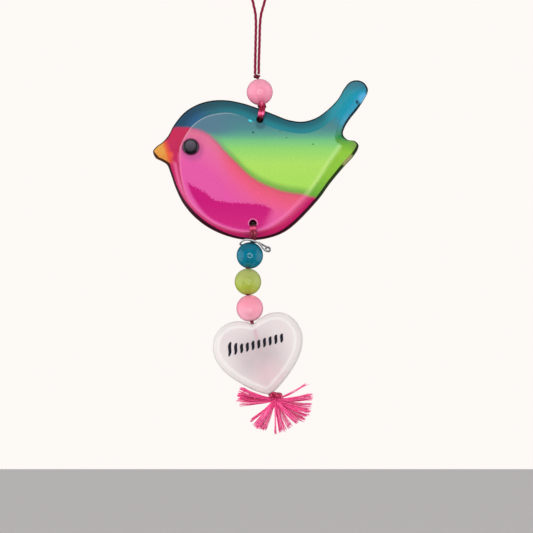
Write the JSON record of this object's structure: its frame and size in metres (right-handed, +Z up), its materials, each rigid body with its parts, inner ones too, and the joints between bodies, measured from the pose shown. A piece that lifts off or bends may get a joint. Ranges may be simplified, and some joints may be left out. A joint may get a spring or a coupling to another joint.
{
  "type": "hanging glass suncatcher",
  "caption": "Hanging suncatcher: a bevelled coloured glass bird on a looped floss cord, with round glass beads, a frosted glass heart and a frayed floss tassel below.",
  "frame": {"origin": "the point where a hook or suction pad carries the hanging loop, at the top of the part", "axes": "+Z up along the hanging cord, +X to the right as seen from the front, the decorated front faces -Y"},
  "size_m": [0.0823, 0.01, 0.1738],
  "materials": {
    "floss": "silky twisted embroidery floss, deep rose",
    "bird_glass": "fused coloured glass, glossy, shaded from teal over green to pink",
    "eye_black": "glossy black",
    "bead_rose": "translucent pink, glossy",
    "bead_teal": "translucent teal, glossy",
    "bead_lime": "translucent lime, glossy",
    "heart_frost": "frosted translucent white",
    "silver_wire": "bright silver wire"
  },
  "bodies": {
    "root": {"hanging_loop": "floss", "top_knot": "floss", "bead_top": "bead_rose", "upper_hitch": "floss", "bird_glass": "bird_glass", "bird_eye": "eye_black", "lower_cord": "floss", "wire_clip": "silver_wire", "bead_teal": "bead_teal", "bead_lime": "bead_lime", "bead_pink": "bead_rose", "heart_glass": "heart_frost", "tassel_knot": "floss", "tassel": "floss"}
  },
  "joints": []
}
